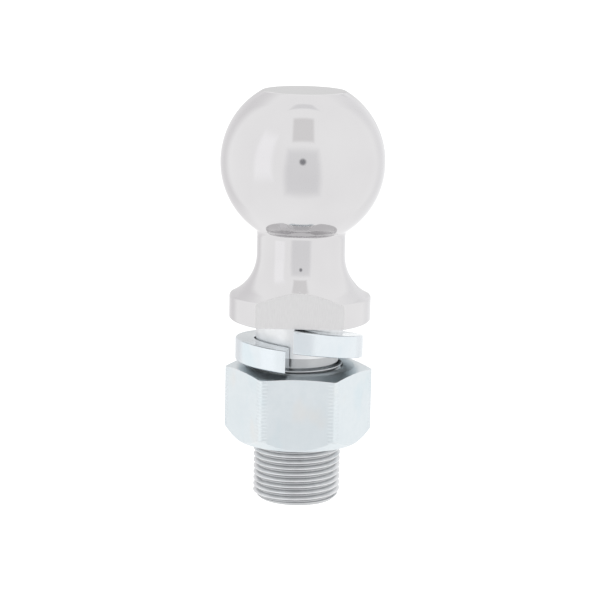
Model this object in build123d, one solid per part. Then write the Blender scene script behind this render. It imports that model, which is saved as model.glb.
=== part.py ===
from build123d import *
import math
import os

# Trailer hitch ball with its split lock washer and hex nut run on the shank, loose.
# Lengths are in millimetres and angles in degrees. +Z points up, towards the ball.
# The origin is the centre of the flange's flat underside, which seats on the drawbar.

INCH = 25.4

# Ball stud: ball, neck, flange and shank are one steel forging
BALL_DIAMETER = 1.875 * INCH
BALL_CENTRE = 45.9          # height of the ball's centre above the seat
BALL_TOP = 66.5             # height of the flat on top of the ball
BALL_TOP_ROUND = 1.5        # rounding round the edge of that flat
NECK_DIAMETER = 25.7
NECK_ROUND = 2.5            # fillet between neck and ball
FLARE_TOP = 19.0            # height where the neck starts to flare into the flange
FLARE_RADIUS = 12.9
FLANGE_DIAMETER = 1.625 * INCH
FLANGE_FLATS = 32.4         # across the two wrench flats
FLANGE_TOP_ROUND = 1.2
FLANGE_SEAT_ROUND = 0.8
SHANK_DIAMETER = 1.0 * INCH
SHANK_LENGTH = 53.4
SHANK_CHAMFER = 1.7
SHANK_ROOT_ROUND = 0.3      # fillet between shank and seat

# Thread: 1 in, 14 threads per inch, right-hand, 60 degree form
PITCH = INCH / 14
FLANK_SLOPE = math.tan(math.radians(30))
CREST_FLAT = PITCH / 8
THREAD_DEPTH = 0.6134 * PITCH
THREAD_TOP = -9.4           # height where the thread meets the smooth part of the shank
THREAD_GAP = 0.2            # running clearance between the shank's thread and the nut's
THREAD_BURIAL = 0.1         # how far a ridge of the thread reaches into the wall that it stands on

# Hex nut
NUT_FLATS = 37.4
NUT_HEIGHT = 21.8
NUT_CORNER_ROUND = 1.4
NUT_BORE = 23.7
NUT_MOUTH = 26.2            # diameter of the 45 degree countersink at each end of the bore
NUT_TOP_CHAMFER = (16.3, 0.22)      # radius where the chamfer starts, and its fall per radius
NUT_FOOT_CHAMFER = (18.3, 1.0)

# Split lock washer: a left-hand coil of a little under one turn, not yet squashed flat
WASHER_OUTER = 37.3
WASHER_INNER = 26.2
WASHER_THICKNESS = 6.6
WASHER_EDGE_ROUND = 0.5
WASHER_COIL = 353.0         # turn from its upper end to its lower end
WASHER_RISE = 6.0           # how much higher the upper end lies
WASHER_UPPER_END = -95.0    # direction of the upper end seen from above, from +X
WASHER_LEAN = 2.05          # rise of its high side, since it rests on its low tip and its back
WASHER_HIGH_SIDE = -118.0   # direction of that high side
WASHER_STATIONS = 25        # points that set the coil's path
LOOSE_GAP = 0.12            # left between washer and seat, and between washer and nut

shank_radius = SHANK_DIAMETER / 2


def corner(face, radius, height):
    """The vertex of a flat profile that lies nearest to a point."""
    return face.vertices().sort_by_distance((radius, height))[0]


def stud_profile():
    """Half section of the forging above its thread in (radius, height), rounded at its edges."""
    ball = BALL_DIAMETER / 2
    neck = NECK_DIAMETER / 2
    rim = FLANGE_DIAMETER / 2
    flat = math.sqrt(ball**2 - (BALL_TOP - BALL_CENTRE) ** 2)
    ball_foot = BALL_CENTRE - math.sqrt(ball**2 - neck**2)
    rim_top = FLARE_TOP - math.sqrt(FLARE_RADIUS**2 - (neck + FLARE_RADIUS - rim) ** 2)
    outline = [
        Line((0, BALL_TOP), (flat, BALL_TOP)),
        ThreePointArc((flat, BALL_TOP), (ball, BALL_CENTRE), (neck, ball_foot)),
        Line((neck, ball_foot), (neck, FLARE_TOP)),
        RadiusArc((neck, FLARE_TOP), (rim, rim_top), -FLARE_RADIUS),
        Polyline((rim, rim_top), (rim, 0), (shank_radius, 0)),
        Polyline((shank_radius, 0), (shank_radius, THREAD_TOP), (0, THREAD_TOP), (0, BALL_TOP)),
    ]
    face = make_face(Curve() + outline)
    rounds = [
        (flat, BALL_TOP, BALL_TOP_ROUND),
        (neck, ball_foot, NECK_ROUND),
        (rim, rim_top, FLANGE_TOP_ROUND),
        (rim, 0, FLANGE_SEAT_ROUND),
        (shank_radius, 0, SHANK_ROOT_ROUND),
    ]
    for radius, height, size in rounds:
        face = fillet(corner(face, radius, height), size)
    return face


def thread_ridge(start, turns, base, tip, tip_flat):
    """Right-hand ridge of 60 degree form, from a base radius buried in its wall to a tip radius.

    Its middle crosses the +X direction at the starting height, so ridges that start a whole number of
    pitches apart lie on one helix.
    """
    foot_flat = tip_flat + 2 * FLANK_SLOPE * abs(tip - base)
    corners = [(tip, -tip_flat / 2), (tip, tip_flat / 2), (base, foot_flat / 2), (base, -foot_flat / 2)]
    edges = []
    for radius, rise in corners:
        helix = Helix(pitch=PITCH, height=turns * PITCH, radius=radius)
        edges.append((Pos(0, 0, start + rise) * helix).edge())
    sides = [Face.make_surface_from_curves(edges[i - 1], edges[i]) for i in range(len(edges))]
    ends = [Face(Wire(Polyline(*[edge @ end for edge in edges], close=True).edges())) for end in (0, 1)]
    return Solid(Shell(sides + ends))


def wrench_flats():
    """The two blocks that mill the flange's flats away."""
    depth = FLANGE_DIAMETER / 2
    centre = (FLANGE_FLATS + depth) / 2
    block = Box(FLANGE_DIAMETER, depth, FLARE_TOP, align=(Align.CENTER, Align.CENTER, Align.MIN))
    return [Pos(0, side * centre, 0) * block for side in (-1, 1)]


def shank_end_envelope():
    """Solid of revolution whose cone chamfers the end of the thread."""
    tip = shank_radius - SHANK_CHAMFER
    wide = SHANK_DIAMETER
    outline = Polyline(
        (0, -SHANK_LENGTH),
        (tip, -SHANK_LENGTH),
        (wide, wide - tip - SHANK_LENGTH),
        (wide, 0),
        (0, 0),
        close=True,
    )
    return revolve(Plane.XZ * make_face(outline), Axis.Z)


def threaded_shank():
    """The shank below its smooth part, with its rolled thread and chamfered end."""
    root = shank_radius - THREAD_DEPTH
    lowest = math.floor(-SHANK_LENGTH / PITCH) - 1
    highest = math.floor(THREAD_TOP / PITCH) - 1
    ridge = thread_ridge(lowest * PITCH, highest - lowest, root - THREAD_BURIAL, shank_radius, CREST_FLAT)
    height = THREAD_TOP - (lowest - 1) * PITCH
    core = Pos(0, 0, THREAD_TOP) * Cylinder(root, height, align=(Align.CENTER, Align.CENTER, Align.MAX))
    return (core + ridge) & shank_end_envelope()


def make_ball_stud():
    """The forging with its wrench flats and its thread."""
    return revolve(Plane.XZ * stud_profile(), Axis.Z) - wrench_flats() + threaded_shank()


def washer_tops():
    """Points along the middle of the washer's upper face, from its upper end to its lower one."""
    points = []
    middle = (WASHER_OUTER + WASHER_INNER) / 4
    for i in range(WASHER_STATIONS):
        share = i / (WASHER_STATIONS - 1)
        direction = math.radians(WASHER_UPPER_END + share * WASHER_COIL)
        lean = WASHER_LEAN * math.cos(direction - math.radians(WASHER_HIGH_SIDE))
        height = lean - share * WASHER_RISE
        points.append(Vector(middle * math.cos(direction), middle * math.sin(direction), height))
    highest = max(point.Z for point in points)
    return [point - Vector(0, 0, highest + LOOSE_GAP) for point in points]


def make_washer():
    """Split ring whose ends are offset like a coil of a spring."""
    tops = washer_tops()
    path = Spline(*[point - Vector(0, 0, WASHER_THICKNESS / 2) for point in tops])
    guide = Spline(*tops)
    outward = Vector(tops[0].X, tops[0].Y, 0)
    start = Plane(path @ 0, x_dir=outward, z_dir=Vector(0, 0, 1).cross(outward))
    section = start * RectangleRounded((WASHER_OUTER - WASHER_INNER) / 2, WASHER_THICKNESS, WASHER_EDGE_ROUND)
    return sweep(section, path=path, binormal=guide)


def nut_envelope(top, foot):
    """Solid of revolution that chamfers the hexagon's corners outside and the ends of the bore inside."""
    top_start, top_fall = NUT_TOP_CHAMFER
    foot_start, foot_rise = NUT_FOOT_CHAMFER
    outer = NUT_FLATS
    mouth = NUT_MOUTH / 2
    inner = NUT_BORE / 2 - THREAD_BURIAL
    outline = Polyline(
        (mouth, top),
        (top_start, top),
        (outer, top - top_fall * (outer - top_start)),
        (outer, foot + foot_rise * (outer - foot_start)),
        (foot_start, foot),
        (mouth, foot),
        (inner, foot + mouth - inner),
        (inner, top - mouth + inner),
        close=True,
    )
    return revolve(Plane.XZ * make_face(outline), Axis.Z)


def nut_thread(top, foot):
    """The ridge inside the nut, half a pitch out of step with the shank's so that it runs in its groove."""
    wall = shank_radius + THREAD_GAP
    groove = CREST_FLAT + 2 * (THREAD_GAP * math.sqrt(1 + FLANK_SLOPE**2) - THREAD_GAP * FLANK_SLOPE)
    tip = NUT_BORE / 2
    tip_flat = PITCH - groove - 2 * FLANK_SLOPE * (wall - tip)
    lowest = math.floor(foot / PITCH) - 1.5
    highest = math.ceil(top / PITCH) + 1.5
    return thread_ridge(lowest * PITCH, highest - lowest, wall + THREAD_BURIAL, tip, tip_flat)


def make_nut():
    """Hex nut, bored to the root of its thread, with the thread's ridge standing inside the bore."""
    top = min(point.Z for point in washer_tops()) - WASHER_THICKNESS - LOOSE_GAP
    foot = top - NUT_HEIGHT
    hexagon = Pos(0, 0, foot) * extrude(RegularPolygon(NUT_FLATS / 2, 6, major_radius=False), NUT_HEIGHT)
    hexagon = fillet(hexagon.edges().filter_by(Axis.Z), NUT_CORNER_ROUND)
    bore = Pos(0, 0, foot) * Cylinder(
        shank_radius + THREAD_GAP, NUT_HEIGHT, align=(Align.CENTER, Align.CENTER, Align.MIN)
    )
    envelope = nut_envelope(top, foot)
    return ((hexagon - bore) & envelope) + (nut_thread(top, foot) & envelope)


nodes = {
    "hitch_ball": make_ball_stud(),
    "lock_washer": make_washer(),
    "hex_nut": make_nut(),
}
os.makedirs("parts", exist_ok=True)
for name, shape in nodes.items():
    export_step(shape, f"parts/{name}.step")
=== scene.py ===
import math

import bpy
from mathutils import Matrix, Vector

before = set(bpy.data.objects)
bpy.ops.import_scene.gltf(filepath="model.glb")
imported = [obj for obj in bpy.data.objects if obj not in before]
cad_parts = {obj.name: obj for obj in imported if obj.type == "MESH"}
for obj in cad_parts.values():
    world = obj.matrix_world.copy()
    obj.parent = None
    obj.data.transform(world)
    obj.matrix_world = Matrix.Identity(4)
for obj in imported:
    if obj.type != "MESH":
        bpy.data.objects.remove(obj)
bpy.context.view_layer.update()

# Heights and sizes of the object, in metres
BALL_CENTRE = 0.0459
FLAT_FACE = 0.0161          # distance from the axis to just inside the flange's wrench flats
FLATS_TOP = 0.0125          # just above the arched tops of those flats
SEAT_BLEND = 0.0004         # half height of the change of finish at the flange's seat
THREAD_ROOT = 0.01159
THREAD_CREST = 0.0127
CREST_BAND = 0.0002         # depth of bright metal at the thread's crests
NUT_CORNER = 0.0208         # radius where the marks on the nut's corners are at their full depth
NUT_CORNER_START = 0.02055
NUT_MARK_PITCH = 0.00105

# Camera, from a least-squares fit to the object's outline
CAMERA_DISTANCE = 0.66896
CAMERA_HEIGHT = 0.13957
CAMERA_PITCH = 0.198        # radians below the horizon
CAMERA_ROLL = 0.021
CAMERA_LENS = 140.8         # millimetres, for a 36 mm sensor

# Stage
TENT_LIGHT = 1.22           # the tent is overexposed, so it shows as plain white
FLOOR_HEIGHT = -0.078       # below the nut where it comes off the shank
FLOOR_HALF = 3.0
LENS_RADIUS = 0.075         # of the dark disc that stands for the camera in reflections
LENS_BEHIND = 0.02
LENS_POINTS = 24


def colour(red, green, blue):
    return (red, green, blue, 1.0)


# Reflectances of the metals, the dark and the bright end of each one's mottling
CHROME = (colour(0.575, 0.565, 0.575), colour(0.645, 0.640, 0.645))
SATIN = (colour(0.62, 0.615, 0.615), colour(0.74, 0.735, 0.735))
STEEL = (colour(0.64, 0.65, 0.66), colour(0.82, 0.83, 0.84))
# painted shade: dark grey that the thread's roots are mixed towards, standing in for the shade in its
# recesses
THREAD_ROOT_SHADE = colour(0.30, 0.31, 0.32)
WASHER_PLATE = (colour(0.63, 0.68, 0.715), colour(0.72, 0.755, 0.775))
NUT_PLATE = (colour(0.615, 0.67, 0.695), colour(0.72, 0.755, 0.775))
PLATE_WARM = colour(0.72, 0.67, 0.62)
PLATE_COOL = colour(0.54, 0.66, 0.71)
PLATE_WORN = colour(0.76, 0.78, 0.79)

# Light of the tent's cards
TENT_TONES = {
    "gap": colour(1.03, 1.03, 1.04),
    "stem": colour(0.99, 0.98, 0.98),
    "shade": colour(0.96, 0.95, 0.96),
    "haze": colour(1.08, 1.08, 1.09),
    "back": colour(0.80, 0.80, 0.80),
    "bright": colour(1.34, 1.34, 1.35),
    "seam": colour(0.36, 0.37, 0.38),
    "lens": colour(0.34, 0.34, 0.36),
}

# The tent's cards: name, tone, distance from the ball in metres, share of the card that covers fully,
# and the azimuth and elevation of its corners in degrees
TENT_CARDS = [
    ("gap_front", "gap", 1.4, 0.55, [(-27, 28), (27, 28), (29, 0), (34, -42), (-34, -42), (-29, 0)]),
    ("gap_stem", "stem", 1.3, 0.7, [(-19, 31), (19, 31), (24, 50), (38, 68), (-38, 68), (-24, 50)]),
    ("gap_roof", "gap", 1.3, 0.5, [(-75, 69), (75, 69), (115, 79), (-115, 79)]),
    ("bright_left", "bright", 1.45, 0.4, [(-75, 45), (-38, 45), (-38, -25), (-75, -25)]),
    ("shade_left", "shade", 1.5, 0.2, [(-118, 55), (-178, 55), (-178, -45), (-118, -45)]),
    ("haze_right", "haze", 1.55, 0.2, [(118, 55), (178, 55), (178, -45), (118, -45)]),
    ("back", "back", 1.7, 0.6, [(140, 17), (220, 17), (220, -4), (140, -4)]),
    ("seam_back", "seam", 1.2, 0.7, [(152, 40), (157, 40), (157, 12), (168, -8), (163, -10), (152, 12)]),
]
LENS_COVER = 0.4


class Nodes:
    """Short ways to add and join the nodes of one material or world."""

    def __init__(self, tree):
        self.tree = tree
        tree.nodes.clear()

    def add(self, kind, inputs=(), **settings):
        node = self.tree.nodes.new("ShaderNode" + kind)
        for name, value in settings.items():
            setattr(node, name, value)
        for name, value in dict(inputs).items():
            self.put(node.inputs[name], value)
        return node

    def put(self, socket, value):
        if isinstance(value, bpy.types.NodeSocket):
            self.tree.links.new(value, socket)
        else:
            socket.default_value = value

    def math(self, operation, *values):
        node = self.add("Math", operation=operation)
        for socket, value in zip(node.inputs, values):
            self.put(socket, value)
        return node.outputs[0]

    def times(self, one, other):
        return self.math("MULTIPLY", one, other)

    def ramp(self, value, low, high, low_to=0.0, high_to=1.0):
        """Smooth step of a value from low to high, which may be given the other way round."""
        numbers = {"Value": value, "From Min": low, "From Max": high, "To Min": low_to, "To Max": high_to}
        return self.add("MapRange", numbers, interpolation_type="SMOOTHSTEP").outputs["Result"]

    def mix(self, share, one, other):
        """A colour between one and other."""
        node = self.add("Mix", data_type="RGBA")
        self.put(node.inputs[0], share)
        self.put(node.inputs[6], one)
        self.put(node.inputs[7], other)
        return node.outputs[2]

    def blend(self, share, one, other):
        """A number between one and other."""
        node = self.add("Mix", data_type="FLOAT")
        self.put(node.inputs[0], share)
        self.put(node.inputs[2], one)
        self.put(node.inputs[3], other)
        return node.outputs[0]

    def noise(self, place, scale, detail=3.0, roughness=0.5):
        inputs = {"Vector": place, "Scale": scale, "Detail": detail, "Roughness": roughness}
        return self.add("TexNoise", inputs).outputs["Fac"]

    def bump(self, height, distance, strength, normal=None):
        node = self.add("Bump", {"Height": height, "Distance": distance, "Strength": strength})
        if normal:
            self.put(node.inputs["Normal"], normal)
        return node.outputs["Normal"]

    def stretched(self, place, x, y, z):
        return self.add("Mapping", {"Vector": place, "Scale": (x, y, z)}).outputs["Vector"]


def new_material(name):
    material = bpy.data.materials.new(name)
    material.use_nodes = True
    return material, Nodes(material.node_tree)


def finish_metal(nodes, paint, rough, bump):
    inputs = {"Base Color": paint, "Roughness": rough, "Normal": bump, "Metallic": 1.0}
    shader = nodes.add("BsdfPrincipled", inputs)
    nodes.add("OutputMaterial", {"Surface": shader.outputs[0]})


def position(nodes):
    """Object coordinates, and each of their parts."""
    place = nodes.add("TexCoord").outputs["Object"]
    parts = nodes.add("SeparateXYZ", {"Vector": place}).outputs
    return place, parts


def radius_of(nodes, parts):
    """Distance from the object's axis."""
    squares = [nodes.times(parts[i], parts[i]) for i in (0, 1)]
    return nodes.math("SQRT", nodes.math("ADD", *squares))


def edge_wear(nodes, radius):
    """1 on an outer edge and 0 on open faces, from how far a bevelled normal leaves the real one."""
    soft = nodes.add("Bevel", {"Radius": radius}, samples=6).outputs["Normal"]
    sharp = nodes.add("NewGeometry").outputs["Normal"]
    dot = nodes.add("VectorMath", {0: soft, 1: sharp}, operation="DOT_PRODUCT").outputs["Value"]
    return nodes.ramp(dot, 0.995, 0.90)


def on_wrench_flats(nodes, parts):
    """1 on the flange's wrench flats and 0 elsewhere."""
    side = nodes.math("ABSOLUTE", parts[1])
    far_out = nodes.ramp(side, FLAT_FACE, FLAT_FACE + 0.00005)
    low = nodes.math("SUBTRACT", 1.0, nodes.ramp(parts[2], FLATS_TOP, FLATS_TOP + 0.001))
    above_seat = nodes.ramp(parts[2], -SEAT_BLEND, SEAT_BLEND)
    return nodes.times(nodes.times(far_out, low), above_seat)


def polished_stud():
    """Bright chrome on ball and neck, satin wrench flats and a plain steel thread, with painted shade
    darkening the thread's roots.
    """
    material, nodes = new_material("polished_stud")
    place, parts = position(nodes)
    below_seat = nodes.ramp(parts[2], SEAT_BLEND, -SEAT_BLEND)
    on_flat = on_wrench_flats(nodes, parts)
    cloud = nodes.noise(place, scale=60.0, detail=2.0)
    grain = nodes.noise(place, scale=900.0, detail=4.0, roughness=0.6)
    lathe = nodes.noise(nodes.stretched(place, 30.0, 30.0, 9000.0), scale=1.0, detail=2.0)
    scratches = nodes.noise(nodes.stretched(place, 5000.0, 300.0, 500.0), scale=1.0)
    fine_scratch = nodes.ramp(scratches, 0.68, 0.76)

    steel = nodes.mix(nodes.noise(place, scale=350.0), *STEEL)
    # painted shade: the steel is darkened from just below the crests down to the thread's roots
    root_shade = nodes.ramp(radius_of(nodes, parts), THREAD_CREST - CREST_BAND, THREAD_ROOT)
    steel = nodes.mix(nodes.times(root_shade, 0.60), steel, THREAD_ROOT_SHADE)
    paint = nodes.mix(on_flat, nodes.mix(cloud, *CHROME), nodes.mix(scratches, *SATIN))
    paint = nodes.mix(below_seat, paint, steel)

    rough = nodes.blend(grain, 0.035, 0.085)
    rough = nodes.blend(nodes.times(fine_scratch, 0.6), rough, 0.25)
    rough = nodes.blend(on_flat, rough, nodes.blend(grain, 0.26, 0.40))
    rough = nodes.blend(below_seat, rough, nodes.blend(grain, 0.24, 0.42))

    lathe_height = nodes.times(lathe, nodes.blend(below_seat, 0.25, 1.0))
    bump = nodes.bump(nodes.noise(place, scale=45.0, detail=1.0), distance=0.0002, strength=0.12)
    bump = nodes.bump(grain, distance=0.00002, strength=0.10, normal=bump)
    bump = nodes.bump(lathe_height, distance=0.00002, strength=0.25, normal=bump)
    bump = nodes.bump(nodes.times(scratches, on_flat), distance=0.00003, strength=0.35, normal=bump)
    finish_metal(nodes, paint, rough, bump)
    return material


def corner_marks(nodes, parts, bump):
    """Fine ladder of marks that the rolled bar leaves on the nut's corners."""
    corner = nodes.ramp(radius_of(nodes, parts), NUT_CORNER_START, NUT_CORNER)
    rungs = nodes.math("SINE", nodes.times(parts[2], 2 * math.pi / NUT_MARK_PITCH))
    return nodes.bump(nodes.times(corner, rungs), distance=0.00010, strength=0.60, normal=bump)


def zinc(name, shades, rough_low, rough_high, serrated):
    """Clear-blue zinc plate over steel: faint pastel tints, fine grain, brighter worn edges."""
    material, nodes = new_material(name)
    place, parts = position(nodes)
    cloud = nodes.noise(place, scale=75.0)
    tint = nodes.noise(nodes.stretched(place, 1.0, 1.0, 0.6), scale=110.0, detail=2.0)
    grain = nodes.noise(place, scale=1400.0, detail=4.0, roughness=0.65)
    drawn = nodes.noise(nodes.stretched(place, 240.0, 240.0, 2600.0), scale=1.0)
    mottle = nodes.noise(place, scale=520.0, roughness=0.6)

    plate = nodes.mix(cloud, *shades)
    plate = nodes.mix(nodes.ramp(mottle, 0.35, 0.68, high_to=0.35), plate, shades[0])
    plate = nodes.mix(nodes.ramp(tint, 0.56, 0.74, high_to=0.30), plate, PLATE_WARM)
    plate = nodes.mix(nodes.ramp(tint, 0.44, 0.26, high_to=0.30), plate, PLATE_COOL)
    wear = edge_wear(nodes, radius=0.0006)
    wear = nodes.times(wear, nodes.ramp(grain, 0.35, 0.6, 0.3, 0.9))
    plate = nodes.mix(wear, plate, PLATE_WORN)

    rough = nodes.blend(grain, rough_low, rough_high)
    rough = nodes.blend(nodes.ramp(cloud, 0.4, 0.7), rough, rough_high)
    bump = nodes.bump(nodes.noise(place, scale=160.0, detail=2.0), distance=0.0002, strength=0.10)
    bump = nodes.bump(mottle, distance=0.00008, strength=0.22, normal=bump)
    bump = nodes.bump(grain, distance=0.00004, strength=0.30, normal=bump)
    bump = nodes.bump(drawn, distance=0.00003, strength=0.20, normal=bump)
    if serrated:
        bump = corner_marks(nodes, parts, bump)
    finish_metal(nodes, plate, rough, bump)
    return material


def give(node_name, material):
    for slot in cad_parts[node_name].material_slots:
        slot.material = material


def glow(name, tone, strength, soft=False):
    """A plain light-giving surface, for the floor and the tent's cards. A soft one fades out at its edge."""
    material, nodes = new_material(name)
    light = nodes.add("Emission", {"Color": tone, "Strength": strength}).outputs[0]
    if soft:
        cover = nodes.add("Attribute", attribute_name="cover").outputs["Fac"]
        clear = nodes.add("BsdfTransparent").outputs[0]
        mixed = nodes.add("MixShader", {0: nodes.ramp(cover, 0.0, 1.0)})
        nodes.put(mixed.inputs[1], clear)
        nodes.put(mixed.inputs[2], light)
        light = mixed.outputs[0]
    nodes.add("OutputMaterial", {"Surface": light})
    return material


def stage_mesh(name, mesh, material):
    """Put a mesh into the scene as a piece of the stage, with one material."""
    mesh.materials.append(material)
    thing = bpy.data.objects.new(name, mesh)
    bpy.context.collection.objects.link(thing)
    return thing


def card(name, corners, material, core):
    """A flat card that only reflections show. It covers fully in its core and fades to its corners."""
    middle = sum(corners, Vector()) / len(corners)
    inner = [middle + (corner - middle) * core for corner in corners]
    count = len(corners)
    faces = [tuple(range(count))]
    for i in range(count):
        after = (i + 1) % count
        faces.append((i, after, count + after, count + i))
    mesh = bpy.data.meshes.new(name)
    mesh.from_pydata(inner + corners, [], faces)
    cover = mesh.attributes.new("cover", "FLOAT", "POINT")
    cover.data.foreach_set("value", [1.0] * count + [0.0] * count)
    thing = stage_mesh(name, mesh, material)
    thing.visible_camera = False
    thing.visible_shadow = False


def direction(azimuth, elevation):
    """Unit vector: azimuth 0 is straight in front of the ball, and elevation is from the horizon."""
    a, e = math.radians(azimuth), math.radians(elevation)
    return Vector((math.sin(a) * math.cos(e), -math.cos(a) * math.cos(e), math.sin(e)))


def make_tent():
    """Greyer and brighter strips of the tent, whose reflections give the polished ball its shape."""
    materials = {tone: glow("tent_" + tone, light, 1.0, soft=True) for tone, light in TENT_TONES.items()}
    ball = Vector((0, 0, BALL_CENTRE))
    for name, tone, distance, core, outline in TENT_CARDS:
        card(name, [ball + direction(a, e) * distance for a, e in outline], materials[tone], core)
    middle = Vector((0, -CAMERA_DISTANCE - LENS_BEHIND, CAMERA_HEIGHT))
    turns = [2 * math.pi * i / LENS_POINTS for i in range(LENS_POINTS)]
    ring = [middle + Vector((math.cos(turn), 0, math.sin(turn))) * LENS_RADIUS for turn in turns]
    card("lens", ring, materials["lens"], LENS_COVER)


def make_floor():
    mesh = bpy.data.meshes.new("floor")
    sides = ((-1, -1), (1, -1), (1, 1), (-1, 1))
    corners = [(x * FLOOR_HALF, y * FLOOR_HALF, FLOOR_HEIGHT) for x, y in sides]
    mesh.from_pydata(corners, [], [(0, 1, 2, 3)])
    floor = stage_mesh("floor", mesh, glow("floor_white", colour(1.0, 1.0, 1.0), TENT_LIGHT))
    # the world behind it is as white, and the tent's cards reach below it
    floor.visible_glossy = False


def make_world():
    """White tent all round."""
    world = bpy.data.worlds.new("tent")
    bpy.context.scene.world = world
    world.use_nodes = True
    nodes = Nodes(world.node_tree)
    back = nodes.add("Background", {"Color": colour(1.0, 1.0, 1.0), "Strength": TENT_LIGHT})
    nodes.add("OutputWorld", {"Surface": back.outputs[0]})


def make_camera():
    data = bpy.data.cameras.new("camera")
    data.lens = CAMERA_LENS
    data.sensor_width = 36.0
    data.clip_start = 0.01
    camera = bpy.data.objects.new("camera", data)
    ahead = Vector((0, math.cos(CAMERA_PITCH), -math.sin(CAMERA_PITCH)))
    right = Vector((1, 0, 0))
    up = right.cross(ahead)
    across = right * math.cos(CAMERA_ROLL) + up * math.sin(CAMERA_ROLL)
    above = up * math.cos(CAMERA_ROLL) - right * math.sin(CAMERA_ROLL)
    turn = Matrix((across, above, -ahead)).transposed().to_4x4()
    camera.matrix_world = Matrix.Translation((0, -CAMERA_DISTANCE, CAMERA_HEIGHT)) @ turn
    bpy.context.collection.objects.link(camera)
    bpy.context.scene.camera = camera


make_camera()
make_world()
make_floor()
make_tent()
bpy.context.scene.view_settings.view_transform = "Standard"

give("hitch_ball", polished_stud())
give("lock_washer", zinc("washer_plate", WASHER_PLATE, rough_low=0.09, rough_high=0.20, serrated=False))
give("hex_nut", zinc("nut_plate", NUT_PLATE, rough_low=0.24, rough_high=0.42, serrated=True))
